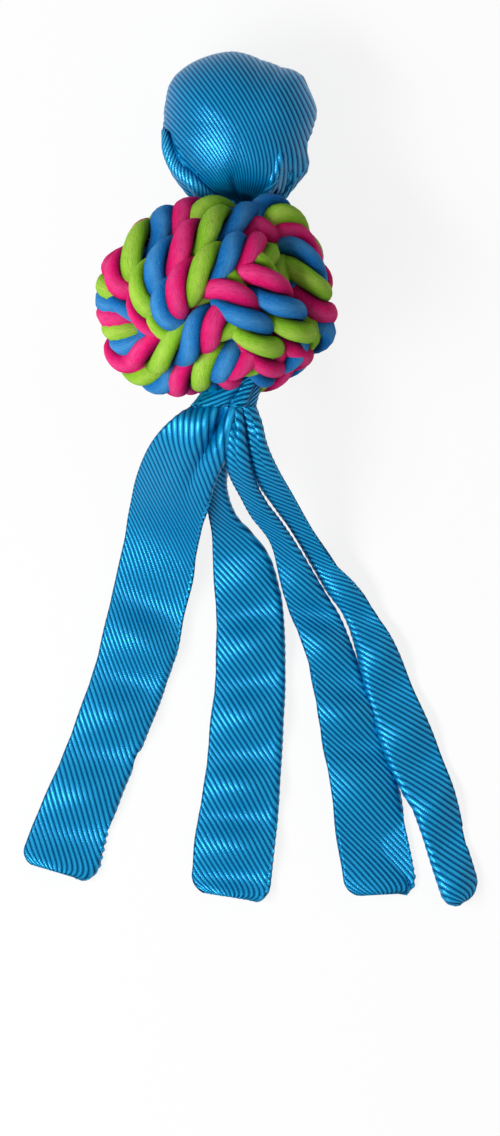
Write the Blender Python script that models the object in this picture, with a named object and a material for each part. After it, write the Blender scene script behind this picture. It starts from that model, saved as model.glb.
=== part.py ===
"""A rope dog toy, lying on a flat surface, seen from above in the photograph.

Two wide ribbed webs cross over a squeaker ball at the head. They are gathered at the upper neck,
run round a core ball inside a ball of wound rope, and are gathered again at the lower neck, where a
band holds them. Their four ends hang free as flat tails. Metres, +Z up. The head points along +Y and
the tails along -Y. The origin is under the middle of the whole toy, on the surface it lies on.
"""

import math

import bmesh
import bpy
import numpy as np
from mathutils import Matrix, Vector

# Clearance between neighbouring pieces
clearance = 0.0003

# The wound rope. Its ball is as large as three rows of this rope, wound three ways, make it.
rope_diameter = 0.0092
rope_sides = 6
points_a_loop = 24
rows_a_band = 3
turns_a_band = 2.75
row_spacing_share = 1.242
rise_share = 0.672
outer_row_share = 4.5
ball_stretch_shares = (0.992, 0.812, 1.0)
rise_sharpness_share = 3.92
corner_cut_deg = 12.8
shift_width_deg = 92.0
corner_reach_share = 1.2
ball_turn_deg = -20.0
ball_tilt_deg = -17.0
flat_cut_share = 0.1
gap_sample_share = 0.11
near_along_share = 2.5

# The core inside the rope
core_space_share = 2.12
web_thickness = 0.0014
core_web_width = 0.029

# The strap runs that lead from the core out through the rope
upper_run_diameter = 0.0048
lower_run_diameter = 0.0042

# The head
head_ball_diameter = 0.0508
head_ball_wall = 0.0025
head_side_web_width = 0.060
head_front_web_width = 0.060
head_sideways = 0.0092

# The upper neck
upper_neck_reach_share = 4.52
upper_gather_diameter = 0.0060
upper_tie_cord = 0.0011
tie_back_share = 0.66
tie_ring_share = 0.75

# The squeaker in the head ball
squeaker_diameter = 0.0084
squeaker_wall = 0.0009
squeaker_length = 0.0150
squeaker_lip = 0.0018
squeaker_lip_height = 0.0014
reed_thickness = 0.0006
reed_place_share = 0.45

# The lower neck
lower_neck_reach_share = 4.75
lower_gather_height = 0.0078
lower_gather_width = 0.0224
lower_gather_length = 0.0066
band_width = 0.0058
lower_neck_sideways = 0.0058
neck_squareness = 2.6
gather_section_shares = (-0.97, -0.86, -0.62, -0.25, 0.25, 0.62, 0.86, 0.97)

# The tails: headings are degrees from straight down the page, left positive, at even stations
tail_gap = 0.0006
tail_thickness = 0.0024
strap_width = 0.0302
tail_end_rounding = 0.0070
end_narrowing_share = 0.8
root_height_share = 0.46
piled_cloth_share = 0.46
gathered_length_share = 0.5
wave_height = 0.0018
tail_settling = 0.0003
wave_count = 3
lower_drop = 0.052
upper_drop = 0.074
tail_1_length = 0.1828
tail_2_length = 0.1852
tail_3_length = 0.190
tail_4_length = 0.2064
tail_stations = 34
tail_table = (
    {
        "name": "tail_1",
        "level": "upper",
        "root_share": -0.26,
        "length": tail_1_length,
        "headings": (31, 24, 15, 12, 16.5, 20, 21.5, 20.5, 17),
        "width_shares": (0.37, 0.92, 1.0, 1.0, 1.0, 1.0, 1.0, 1.0, 1.0),
    },
    {
        "name": "tail_2",
        "level": "lower",
        "root_share": -0.24,
        "length": tail_2_length,
        "headings": (12, -8.5, -22, -7, 0, 4, 5, 7.5, 8.5),
        "width_shares": (0.35, 0.44, 0.72, 0.88, 0.94, 0.94, 0.98, 1.0, 1.0),
    },
    {
        "name": "tail_3",
        "level": "upper",
        "root_share": 0.19,
        "length": tail_3_length,
        "headings": (3.5, -21.5, -29.5, -24, -17.5, -14.5, -13, -10, -9),
        "width_shares": (0.25, 0.32, 0.36, 0.46, 0.60, 0.74, 0.88, 0.95, 0.95),
    },
    {
        "name": "tail_4",
        "level": "lower",
        "root_share": 0.32,
        "length": tail_4_length,
        "headings": (-20, -29.5, -31.5, -34.5, -23.5, -17.5, -18, -15, -12),
        "width_shares": (0.25, 0.26, 0.30, 0.34, 0.44, 0.56, 0.60, 0.57, 0.50),
    },
)

# Faces round a large ring, across a web, along a meridian, and round a small ring, a cord and an edge
ring_faces = 32
zone_faces = 10
meridian_faces = 14
small_ring_faces = 20
cord_faces = 8
edge_faces = 6
ball_subdivisions = 3
weld_share = 0.01

# Sizes that follow
rope_radius = rope_diameter / 2
row_spacing = rope_diameter * row_spacing_share
rope_rise = rope_diameter * rise_share
outer_row = rope_diameter * outer_row_share
flat_cut = rope_diameter * flat_cut_share
ball_stretch = Vector(ball_stretch_shares)
core_web_outer = rope_diameter * core_space_share - clearance
core_web_inner = core_web_outer - web_thickness
core_side_outer = core_web_inner - clearance
core_ball_radius = core_side_outer - web_thickness - clearance
head_ball_radius = head_ball_diameter / 2
head_side_inner = head_ball_radius + clearance
head_side_outer = head_side_inner + web_thickness
head_front_inner = head_side_outer + clearance
head_radius = head_front_inner + web_thickness
upper_gather_radius = upper_gather_diameter / 2
ball_centre_height = outer_row * ball_stretch.z + rope_radius - flat_cut


def clear_scene():
    for item in list(bpy.data.objects):
        bpy.data.objects.remove(item, do_unlink=True)


def material(name, colour, roughness, metallic=0.0):
    made = bpy.data.materials.new(name)
    made.use_nodes = True
    shader = made.node_tree.nodes["Principled BSDF"]
    shader.inputs["Base Color"].default_value = (*colour, 1.0)
    shader.inputs["Roughness"].default_value = roughness
    shader.inputs["Metallic"].default_value = metallic
    return made


def add_object(name, points, faces, made_of, pivot=None):
    """One mesh object, with its origin at the pivot that it turns about."""
    place = Vector(pivot) if pivot is not None else Vector((0.0, 0.0, 0.0))
    mesh = bpy.data.meshes.new(name)
    mesh.from_pydata([Vector(p) - place for p in points], [], faces)
    mesh.validate()
    body = bmesh.new()
    body.from_mesh(mesh)
    bmesh.ops.remove_doubles(body, verts=body.verts, dist=clearance * weld_share)
    bmesh.ops.recalc_face_normals(body, faces=body.faces)
    body.to_mesh(mesh)
    body.free()
    mesh.materials.append(made_of)
    mesh.shade_smooth()
    made = bpy.data.objects.new(name, mesh)
    made.location = place
    bpy.context.collection.objects.link(made)
    return made


def skin_rings(rings, joined=False):
    """Points and faces through rings of points: joined end to end, or with a flat cap at each end."""
    sides = len(rings[0])
    points = [p for ring in rings for p in ring]
    faces = []
    for row in range(len(rings) if joined else len(rings) - 1):
        low, high = row * sides, (row + 1) % len(rings) * sides
        for side in range(sides):
            after = (side + 1) % sides
            faces.append((low + side, low + after, high + after, high + side))
    if not joined:
        faces.append(tuple(reversed(range(sides))))
        faces.append(tuple(range((len(rings) - 1) * sides, len(rings) * sides)))
    return points, faces


def turned(profile, origin, axis, count):
    """A solid turned round an axis; the profile is (radius, along) pairs, a closed loop."""
    turn = Vector((0.0, 0.0, 1.0)).rotation_difference(axis)
    rings = []
    for step in range(count):
        angle = 2 * math.pi * step / count
        ring = []
        for radius, along in profile:
            spot = Vector((radius * math.cos(angle), radius * math.sin(angle), along))
            ring.append(Vector(origin) + turn @ spot)
        rings.append(ring)
    return skin_rings(rings, joined=True)


def zone_band(centre, along, across, inner, outer, width):
    """A web of that flat width lying on a ball, circling in the plane of along and across."""
    side = along.cross(across).normalized()
    reach = width / 2 / inner
    rings = []
    for step in range(ring_faces):
        angle = 2 * math.pi * step / ring_faces
        out = along * math.cos(angle) + across * math.sin(angle)
        ring = []
        for part in range(zone_faces + 1):
            lean = reach * (2 * part / zone_faces - 1)
            ring.append(centre + (out * math.cos(lean) + side * math.sin(lean)) * outer)
        for part in range(zone_faces, -1, -1):
            lean = reach * (2 * part / zone_faces - 1)
            ring.append(centre + (out * math.cos(lean) + side * math.sin(lean)) * inner)
        rings.append(ring)
    return skin_rings(rings, joined=True)


def cut_away(target, cutter):
    """Takes the cutter out of the target and leaves it as a guide that isn't built."""
    cut = target.modifiers.new("cut", "BOOLEAN")
    cut.operation = "DIFFERENCE"
    cut.solver = "EXACT"
    cut.object = cutter


def guide_ball(name, centre, radius):
    body = bmesh.new()
    bmesh.ops.create_icosphere(body, subdivisions=ball_subdivisions, radius=radius)
    mesh = bpy.data.meshes.new(name)
    body.to_mesh(mesh)
    body.free()
    made = bpy.data.objects.new(name, mesh)
    made.location = centre
    made.hide_render = True
    made.display_type = "WIRE"
    bpy.context.collection.objects.link(made)
    return made


def solid_ball(name, centre, radius, made_of, pivot=None):
    body = bmesh.new()
    bmesh.ops.create_icosphere(body, subdivisions=ball_subdivisions, radius=radius)
    points = [v.co + Vector(centre) for v in body.verts]
    faces = [[v.index for v in f.verts] for f in body.faces]
    body.free()
    return add_object(name, points, faces, made_of, pivot)


def cut_flat_below(item):
    """Cuts off what would reach below the surface that the toy lies on, and closes the cut."""
    body = bmesh.new()
    body.from_mesh(item.data)
    parts = [*body.verts, *body.edges, *body.faces]
    level = {"plane_co": (0.0, 0.0, 0.0), "plane_no": (0.0, 0.0, 1.0)}
    bmesh.ops.bisect_plane(body, geom=parts, dist=clearance * weld_share, clear_inner=True, **level)
    open_edges = [edge for edge in body.edges if edge.is_boundary]
    bmesh.ops.edgeloop_fill(body, edges=open_edges)
    bmesh.ops.recalc_face_normals(body, faces=body.faces)
    body.to_mesh(item.data)
    body.free()


# The way the rope is wound: three bands of rows, each square to the other two


def ball_axes():
    """The three band axes. The rope ball's neck axis is a corner between them, tilted with the ball."""
    rise = 1 / math.sqrt(3)
    level = math.sqrt(1 - rise * rise)
    tilt = Matrix.Rotation(math.radians(ball_tilt_deg), 3, "X")
    sixth = math.pi / 3
    turn = math.radians(ball_turn_deg)

    def face(angle, height):
        return tilt @ Vector((level * math.sin(angle), height, level * math.cos(angle)))

    top = face(turn, rise)
    right = face(turn + sixth, -rise)
    left = face(turn - sixth, -rise)
    return top, right, left


def smooth_step(values):
    held = np.clip(values, 0.0, 1.0)
    return held * held * (3 - 2 * held)


def band_rows(axis, first, second, start_row, row_step, joined_before, joined_after):
    """Turns of one band: over the ball at first, under the next band at second, on by a row each turn."""
    quarter = math.pi / 2
    total = 2 * math.pi * turns_a_band
    angles = np.linspace(0, total, int(points_a_loop * turns_a_band) + 1) - quarter / 2
    rows = np.full_like(angles, float(start_row))
    shift = math.radians(shift_width_deg)
    for turn in range(rows_a_band - 1):
        middle = 3 * quarter + 2 * math.pi * turn
        rows += row_step * smooth_step((angles - middle + shift / 2) / shift)
    level = np.tanh(rise_sharpness_share * np.cos(2 * angles)) / math.tanh(rise_sharpness_share)
    if joined_before:
        level = np.where(angles < 0, 1.0, level)
    if joined_after:
        level = np.where(angles > angles[-1] - quarter / 2, 1.0, level)
    reach = outer_row - rope_rise + rope_rise * level
    aside = rows * row_spacing
    round_axis = np.sqrt(reach * reach - aside * aside)
    circle = np.cos(angles)[:, None] * np.array(first) + np.sin(angles)[:, None] * np.array(second)
    places = aside[:, None] * np.array(axis) + round_axis[:, None] * circle
    cut = math.radians(corner_cut_deg)
    kept = np.ones(len(angles), dtype=bool)
    if joined_before:
        kept &= angles >= angles[0] + cut
    if joined_after:
        kept &= angles <= angles[-1] - cut
    return places[kept]


def bridge(before, after):
    """The rope's bend from the end of one band into the start of the next."""
    start, end = before[-1], after[0]
    leaving = before[-1] - before[-2]
    leaving /= np.linalg.norm(leaving)
    joining = after[1] - after[0]
    joining /= np.linalg.norm(joining)
    span = float(np.linalg.norm(end - start))
    chord = 2 * math.pi * outer_row / points_a_loop
    count = max(3, round(2 * span / chord))
    pull = span * corner_reach_share
    spots = []
    for step in range(1, count):
        u = step / count
        spot = (2 * u**3 - 3 * u**2 + 1) * start + (u**3 - 2 * u**2 + u) * leaving * pull
        spot = spot + (3 * u**2 - 2 * u**3) * end + (u**3 - u**2) * joining * pull
        spots.append(spot)
    return np.array(spots)


def rope_route():
    """The middle line of the whole rope, about the ball's centre."""
    top, right, left = ball_axes()
    first, second, third = right, -left, -top
    bands = (
        band_rows(first, -third, second, -1, 1, False, True),
        band_rows(second, first, -third, -1, 1, True, True),
        band_rows(third, second, first, 1, -1, True, False),
    )
    route = bands[0]
    for band in bands[1:]:
        route = np.concatenate([route, bridge(route, band), band])
    return route * np.array(ball_stretch)


def sampled(route, spacing):
    """The route at even steps."""
    runs = np.linalg.norm(np.diff(route, axis=0), axis=1)
    along = np.concatenate([[0.0], np.cumsum(runs)])
    even = np.linspace(0, along[-1], int(along[-1] / spacing))
    return even, np.stack([np.interp(even, along, route[:, k]) for k in range(3)], axis=1)


def print_least_gap(route):
    """Prints how near the rope comes to itself, surface to surface."""
    even, spots = sampled(route, rope_diameter * gap_sample_share)
    apart = np.linalg.norm(spots[:, None] - spots[None], axis=2)
    apart[np.abs(even[:, None] - even[None]) < rope_diameter * near_along_share] = np.inf
    least = float(apart.min()) - rope_diameter
    print(f"rope winding: least gap to itself {least * 1000:.2f} mm, length {even[-1]:.3f} m")


def tube_rings(route, radius, sides):
    """Rings of points round a route, each carried on from the last with no twist."""
    tangents = np.gradient(route, axis=0)
    tangents /= np.linalg.norm(tangents, axis=1)[:, None]
    out = Vector(tangents[0]).orthogonal().normalized()
    rings = []
    for spot, tangent in zip(route, tangents):
        forward = Vector(tangent)
        out = (out - forward * out.dot(forward)).normalized()
        side = forward.cross(out)
        ring = []
        for step in range(sides):
            angle = 2 * math.pi * step / sides
            ring.append(Vector(spot) + (out * math.cos(angle) + side * math.sin(angle)) * radius)
        rings.append(ring)
    return rings


def rope_winding(centre, made_of):
    route = rope_route()
    print_least_gap(route)
    points, faces = skin_rings(tube_rings(route + np.array(centre), rope_radius, rope_sides))
    winding = add_object("rope_winding", points, faces, made_of)
    cut_flat_below(winding)
    return winding


def neck_directions():
    """Where the two gaps in the rope at the ball's neck corners point."""
    top, right, left = ball_axes()
    corner = (top - right - left).normalized()
    upper = Vector((corner.x * ball_stretch.x, corner.y * ball_stretch.y, corner.z * ball_stretch.z))
    upper.normalize()
    return upper, -upper


def run_solid(name, start, end, diameter, made_of, pivot=None):
    """A round straight length from start to end."""
    route = np.array([start, end])
    return add_object(name, *skin_rings(tube_rings(route, diameter / 2, small_ring_faces)), made_of, pivot)


def torus(name, centre, axis, ring_radius, cord_radius, made_of, pivot):
    profile = []
    for step in range(cord_faces):
        angle = 2 * math.pi * step / cord_faces
        profile.append((ring_radius + cord_radius * math.cos(angle), cord_radius * math.sin(angle)))
    return add_object(name, *turned(profile, centre, axis, small_ring_faces), made_of, pivot)


# The tails


def eased(values, share):
    """A value from an evenly spaced table, read smoothly at a share of its length."""
    count = len(values) - 1
    place = min(max(share, 0.0), 1.0) * count
    low = min(int(place), count - 1)
    part = place - low
    before = values[max(low - 1, 0)]
    after = values[min(low + 2, count)]
    a, b = values[low], values[low + 1]
    lean_a, lean_b = (b - before) / 2, (after - a) / 2
    smooth = (2 * part**3 - 3 * part**2 + 1) * a + (part**3 - 2 * part**2 + part) * lean_a
    return smooth + (3 * part**2 - 2 * part**3) * b + (part**3 - part**2) * lean_b


def tail_root(entry, neck_end):
    """The middle of a tail's root face."""
    level = 1 if entry["level"] == "upper" else -1
    sideways = entry["root_share"] * lower_gather_width
    height = level * root_height_share * lower_gather_height
    return neck_end + Vector((sideways, -tail_gap, height))


def tail_thickness_at(width):
    """A gathered strap is as thick as its cloth piled up makes it."""
    piled = tail_thickness * strap_width / min(width, strap_width)
    return min(piled, lower_gather_height * piled_cloth_share)


def tail_pivot(entry, neck_end):
    """A tail swings about its root's outer edge: an upper one lifts, a lower one drops."""
    level = 1 if entry["level"] == "upper" else -1
    deep = tail_thickness_at(strap_width * entry["width_shares"][0]) / 2
    return tail_root(entry, neck_end) + Vector((0.0, 0.0, level * deep))


def tail_solid(entry, neck_end, made_of):
    root = tail_root(entry, neck_end)
    drop = upper_drop if entry["level"] == "upper" else lower_drop
    step_length = entry["length"] / tail_stations
    spot = Vector((root.x, root.y, 0.0))
    middles, widths, thicknesses = [], [], []
    for station in range(tail_stations + 1):
        share = station / tail_stations
        along = share * entry["length"]
        width = strap_width * eased(entry["width_shares"], share)
        left_over = entry["length"] - along
        if left_over < tail_end_rounding:
            part = 1 - left_over / tail_end_rounding
            narrowing = 1 - math.sqrt(max(1 - part * part, 0.0))
            width -= 2 * tail_end_rounding * narrowing * end_narrowing_share
        piled_width = width if share < gathered_length_share else max(width, strap_width / 2)
        thickness = tail_thickness_at(piled_width)
        fall = float(smooth_step(along / drop))
        lying = thickness / 2 - tail_settling
        ripple = 0.0
        if along > drop:
            ripple = (along - drop) / (entry["length"] - drop) * wave_count * 2 * math.pi
            ripple = wave_height * (1 - math.cos(ripple)) / 2
        height = root.z + (lying - root.z) * fall + ripple
        middles.append(Vector((spot.x, spot.y, height)))
        widths.append(width)
        thicknesses.append(thickness)
        heading = math.radians(eased(entry["headings"], share))
        spot = spot + Vector((-math.sin(heading), -math.cos(heading), 0.0)) * step_length
    rings = []
    real_length = 0.0
    for station, middle in enumerate(middles):
        before = middles[max(station - 1, 0)]
        after = middles[min(station + 1, tail_stations)]
        forward = (after - before).normalized()
        if station:
            real_length += (middle - before).length
        level = Vector((forward.x, forward.y, 0.0)).normalized()
        side = Vector((-level.y, level.x, 0.0))
        if station == 0:
            forward = Vector((0.0, -1.0, 0.0))
            side = Vector((1.0, 0.0, 0.0))
        up = side.cross(forward)
        up = up if up.z > 0 else -up
        half, deep = widths[station] / 2, thicknesses[station] / 2
        edge = min(deep, half / 2)
        corners = (
            (-half, 0.0),
            (-half + edge, deep),
            (half - edge, deep),
            (half, 0.0),
            (half - edge, -deep),
            (-half + edge, -deep),
        )
        ring = []
        for across, high in corners:
            point = middle + side * across + up * high
            point.z = max(point.z, 0.0)
            ring.append(point)
        rings.append(ring)
    print(f"{entry['name']}: length {real_length:.4f} m")
    return add_object(entry["name"], *skin_rings(rings), made_of, tail_pivot(entry, neck_end))


def lower_gather_solid(pivot, made_of):
    """The gathered straps at the lower neck, rounded about the pivot that they turn on."""
    half_high = lower_gather_height / 2
    half_wide = lower_gather_width / 2
    rows = []
    for step in range(edge_faces + 1):
        angle = math.pi * (step / edge_faces - 1 / 2)
        rows.append((half_high * math.cos(angle), half_high * math.sin(angle)))
    section = rows
    section.append((-lower_gather_length, half_high))
    section.insert(0, (-lower_gather_length, -half_high))
    rings = []
    for share in gather_section_shares:
        shrink = (1 - abs(share) ** neck_squareness) ** (1 / neck_squareness)
        ring = []
        for y, z in section:
            held_y = y * shrink if y > 0 else y
            ring.append(pivot + Vector((share * half_wide, held_y, z * shrink)))
        rings.append(ring)
    return add_object("lower_neck_gather", *skin_rings(rings), made_of, pivot)


def band_solid(pivot, made_of):
    """The band wrapped round the lower neck."""
    half_high = lower_gather_height / 2 + clearance
    half_wide = lower_gather_width / 2 + clearance
    low, high_end = -lower_gather_length, band_width - lower_gather_length
    section = ((0.0, low), (web_thickness, low), (web_thickness, high_end), (0.0, high_end))
    rings = []
    for step in range(ring_faces):
        angle = 2 * math.pi * step / ring_faces
        across, high = math.cos(angle), math.sin(angle)
        grow = 1 / (abs(across) ** neck_squareness + abs(high) ** neck_squareness) ** (1 / neck_squareness)
        spot = (across * grow, high * grow)
        ring = []
        for thick, along in section:
            ring.append(pivot + Vector((spot[0] * (half_wide + thick), along, spot[1] * (half_high + thick))))
        rings.append(ring)
    return add_object("lower_neck_band", *skin_rings(rings, joined=True), made_of, pivot)


def rope_and_core(centre, upper_way, lower_way, upper_end, lower_end, rope, fabric, rubber):
    """The rope ball, the core ball and the webs round it, and the two runs out through the rope."""
    level = Vector((1.0, 0.0, 0.0))
    upright = level.cross(upper_way).normalized()
    side_sizes = (core_side_outer - web_thickness, core_side_outer, core_web_width)
    front_sizes = (core_web_inner, core_web_outer, core_web_width)
    upper_start = centre + upper_way * (core_web_outer + clearance)
    lower_start = centre + lower_way * (core_web_outer + clearance)
    return [
        rope_winding(centre, rope),
        solid_ball("core_ball", centre, core_ball_radius, rubber),
        add_object("core_web_side", *zone_band(centre, upper_way, level, *side_sizes), fabric),
        add_object("core_web_front", *zone_band(centre, upper_way, upright, *front_sizes), fabric),
        run_solid("upper_neck_run", upper_start, upper_end, upper_run_diameter, fabric),
        run_solid("lower_neck_run", lower_start, lower_end, lower_run_diameter, fabric),
    ]


def upper_neck(pivot, upper_way, fabric, thread):
    """The gather that the head turns on, and the cord tied round it."""
    gather_radius = upper_gather_radius
    ring = gather_radius * tie_ring_share + clearance + upper_tie_cord / 2
    centre = pivot - upper_way * gather_radius * tie_back_share
    return [
        solid_ball("upper_neck_gather", pivot, gather_radius, fabric, pivot),
        torus("upper_neck_tie", centre, upper_way, ring, upper_tie_cord / 2, thread, pivot),
    ]


def head_ball_profile():
    """The hollow ball's section: its outside from the hole to the far pole, and its inside back."""
    hole = squeaker_diameter / 2 + clearance
    profile = []
    for radius, outward in ((head_ball_radius, True), (head_ball_radius - head_ball_wall, False)):
        start = math.asin(hole / radius)
        part = []
        for step in range(meridian_faces + 1):
            angle = start + (math.pi - start) * step / meridian_faces
            part.append((radius * math.sin(angle), radius * math.cos(angle)))
        profile += part if outward else reversed(part)
    return profile


def squeaker_profile():
    """The squeaker barrel's section, with the lip that keeps it in the ball."""
    outer = squeaker_diameter / 2
    inner = outer - squeaker_wall
    lip = outer + squeaker_lip
    top = head_ball_radius - 2 * clearance
    bottom = head_ball_radius - clearance - squeaker_length
    lip_top = math.sqrt((head_ball_radius - head_ball_wall) ** 2 - lip**2) - clearance
    return (
        (inner, bottom),
        (inner, top),
        (outer, top),
        (outer, lip_top),
        (lip, lip_top),
        (lip, lip_top - squeaker_lip_height),
        (outer, lip_top - squeaker_lip_height),
        (outer, bottom),
    )


def head(centre, pivot, socket, fabric, rubber, plastic):
    """The hollow ball with its squeaker at the crown, and the two webs over it, cut clear of the neck."""
    crown = (centre - pivot).normalized()
    facing = Vector((1.0, 0.0, 0.0)).cross(crown).normalized()
    across = crown.cross(facing).normalized()
    reed_radius = squeaker_diameter / 2 - squeaker_wall - clearance
    reed_middle = centre + crown * (head_ball_radius - clearance - squeaker_length * reed_place_share)
    reed_half = crown * reed_thickness / 2
    ball = turned(head_ball_profile(), centre, crown, ring_faces)
    barrel = turned(squeaker_profile(), centre, crown, small_ring_faces)
    ends = (reed_middle - reed_half, reed_middle + reed_half)
    made = [
        add_object("head_ball", *ball, rubber, pivot),
        add_object("squeaker_barrel", *barrel, plastic, pivot),
        run_solid("squeaker_reed", *ends, 2 * reed_radius, plastic, pivot),
    ]
    side_sizes = (head_side_inner, head_side_outer, head_side_web_width)
    front_sizes = (head_front_inner, head_radius, head_front_web_width)
    for name, way, sizes in (("head_web_side", across, side_sizes), ("head_web_front", facing, front_sizes)):
        web = add_object(name, *zone_band(centre, crown, way, *sizes), fabric, pivot)
        cut_away(web, socket)
        made.append(web)
    return made


def moved_to_the_middle(objects, guides, spots):
    """Moves all so that the origin is under the toy's middle, and prints where the named spots are."""
    bpy.context.view_layer.update()
    corners = [item.matrix_world @ Vector(c) for item in objects for c in item.bound_box]
    middle_x = (max(c.x for c in corners) + min(c.x for c in corners)) / 2
    middle_y = (max(c.y for c in corners) + min(c.y for c in corners)) / 2
    move = Vector((-middle_x, -middle_y, 0.0))
    for item in [*objects, *guides]:
        item.location += move
    bpy.context.view_layer.update()
    for label, spot in spots.items():
        print(label, tuple(round(v, 5) for v in spot + move))


def main():
    clear_scene()
    fabric = material("ribbed_blue_webbing", (0.0, 0.19, 0.45), 0.45)
    rope = material("three_colour_rope", (0.84, 0.01, 0.19), 0.85)
    rubber = material("ball_rubber", (0.35, 0.36, 0.33), 0.7)
    plastic = material("squeaker_plastic", (0.80, 0.80, 0.76), 0.4)
    thread = material("tie_thread", (0.0, 0.08, 0.20), 0.7)

    upper_way, lower_way = neck_directions()
    ball_centre = Vector((0.0, 0.0, ball_centre_height))
    upper_pivot = ball_centre + upper_way * rope_diameter * upper_neck_reach_share
    upper_end = upper_pivot - upper_way * (upper_gather_radius + clearance)
    lower_reach = rope_diameter * lower_neck_reach_share
    lower_pivot = ball_centre + lower_way * lower_reach
    lower_end = ball_centre + lower_way * (lower_reach - lower_gather_height / 2 - clearance)
    lower_pivot.x += lower_neck_sideways
    neck_end = lower_pivot + Vector((0.0, -lower_gather_length, 0.0))

    # The head lies on the same surface as the rope ball, with the neck at its surface
    drop = head_radius - upper_pivot.z
    onward = math.sqrt(head_radius**2 - head_sideways**2 - drop**2)
    head_centre = Vector((upper_pivot.x + head_sideways, upper_pivot.y + onward, head_radius))
    socket = guide_ball("neck_socket", upper_pivot, upper_gather_radius + clearance)

    objects = rope_and_core(ball_centre, upper_way, lower_way, upper_end, lower_end, rope, fabric, rubber)
    objects += upper_neck(upper_pivot, upper_way, fabric, thread)
    objects += head(head_centre, upper_pivot, socket, fabric, rubber, plastic)
    objects += [lower_gather_solid(lower_pivot, fabric), band_solid(lower_pivot, fabric)]
    objects += [tail_solid(entry, neck_end, fabric) for entry in tail_table]
    spots = {"ball centre": ball_centre, "head centre": head_centre}
    spots |= {"upper pivot": upper_pivot, "lower pivot": lower_pivot}
    spots |= {entry["name"] + " root": tail_pivot(entry, neck_end) for entry in tail_table}
    moved_to_the_middle(objects, [socket], spots)


main()
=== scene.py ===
"""The looks of the rope dog toy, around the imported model. Metres, +Z up, the head along +Y.

The rope is three twisted strands on one winding of four rows a band. The head's two webs, the neck
band and the four tails are one ribbed sleeve fabric, whose ribs run slantwise to its length.
"""

import math

import bmesh
import bpy
import numpy as np
from mathutils import Matrix, Vector


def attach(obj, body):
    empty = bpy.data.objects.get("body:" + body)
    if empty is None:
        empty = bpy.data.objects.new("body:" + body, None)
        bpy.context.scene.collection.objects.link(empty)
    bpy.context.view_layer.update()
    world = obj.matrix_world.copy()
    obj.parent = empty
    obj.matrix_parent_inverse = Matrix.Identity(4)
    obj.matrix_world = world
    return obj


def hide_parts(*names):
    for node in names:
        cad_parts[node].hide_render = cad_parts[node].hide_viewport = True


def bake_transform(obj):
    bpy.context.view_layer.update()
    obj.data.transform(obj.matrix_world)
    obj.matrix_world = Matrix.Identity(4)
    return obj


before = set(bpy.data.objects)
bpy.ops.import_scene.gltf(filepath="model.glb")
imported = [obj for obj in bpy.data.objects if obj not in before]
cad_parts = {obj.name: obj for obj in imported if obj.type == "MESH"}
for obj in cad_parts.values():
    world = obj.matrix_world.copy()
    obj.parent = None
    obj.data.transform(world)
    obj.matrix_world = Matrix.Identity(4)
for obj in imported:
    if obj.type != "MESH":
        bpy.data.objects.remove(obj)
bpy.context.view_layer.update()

# The camera sees this much of the floor, and looks straight down at this point
view_height_m = 0.4351
view_middle = (0.0, -0.0326)
camera_height = 8.0
sensor = 36.0

# Vectors shorter than this aren't scaled up to length 1
least_length = 1e-12

# The rope ball. Shares are of its reach; lengths along the rope are in metres
ball_centre = np.array((-0.0129, 0.0701, 0.0451))
ball_reach = np.array((0.0388, 0.0313, 0.0384))
lead_in_steps = 24
lead_in_reach = 0.50
lead_in_sink = 0.70
bend_label, lead_in_label = -1, -2
least_bend_points = 4
ball_angles_deg = (-28.1, -27.3, 3.7)
row_share = 0.388
band_shift_shares = (-0.126, -0.026, 0.136)
rows_a_band = 4
turns_a_band = 3.75
route_points_a_turn = 60
shift_width_deg = 80.0
corner_cut_deg = 12.8
corner_reach_share = 1.1
under_share = 0.66
level_sharpness = 2.6
rope_radius = 0.0083
strand_centre_share = 0.61
strand_high_share = 0.41
strand_wide_share = 0.49
lay_length = 0.0285
strand_step = 0.0011
strand_sides = 16
strand_uv_length = 0.02
curve_steps = 20
strand_swells = ((0.03, 330, 2.1), (0.02, 741, 1))
settle_length = 0.030
dive_start = 0.002
dive_length = 0.015
quick_dive_length = 0.004
quick_dives = ((1, 0), (0, 0))
pass_reach = 0.040
rim_softness = 0.12
sunk_rows = ((1, 3), (2, 3), (2, 0), (0, 3))
onto_rows_gain = 2
lowest_seen = -0.014
depth_smoothing, shift_smoothing, line_smoothing, turn_smoothing = 5, 3, 2, 3

# The sleeve fabric: a strap is 30 mm wide, laid flat, and 60 mm wide when it is opened out as a web
rib_slant_deg = 37.0
rib_height = 0.00024
rib_pitch, wrap_rib_pitch, head_rib_pitch, rolled_rib_pitch = 0.0018, 0.0017, 0.0023, 0.0013
points_a_rib = 5
edge_points = 3
edge_rib_share = 3.3
thread_pitch = 0.0008
weld_distance = 0.00002
end_taper = 0.0010
uv_unit = 0.030
strap_width = 0.030
strap_thickness = 0.0018
web_width = 0.060

# Where something starts along a tail and how far it takes to grow, both as shares of its length
lead_grows, lead_ends = (0.06, 0.16), (0.42, 0.3)
wave_grows, tilt_grows = (0.25, 0.2), (0.3, 0.3)
droop_ends, root_ends = 0.34, 0.075
tail_stations = 160
end_rounding = 0.0068
edge_inset = 0.0011
least_back, least_room = 0.0005, 0.001
lowest_middle = strap_thickness / 2 + 0.0003
wave_height, wave_lift, wave_at_edges = 0.0028, 0.6, 0.35
neck_middle, neck_height = -0.0093, 0.054
neck_half_width, neck_half_height, neck_least = 0.0118, 0.0082, 0.04
root_droop, droop_power = 0.0035, 2.5
wrap_lap, wrap_end, wrap_end_share = 0.0012, 0.006, 0.6

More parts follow.
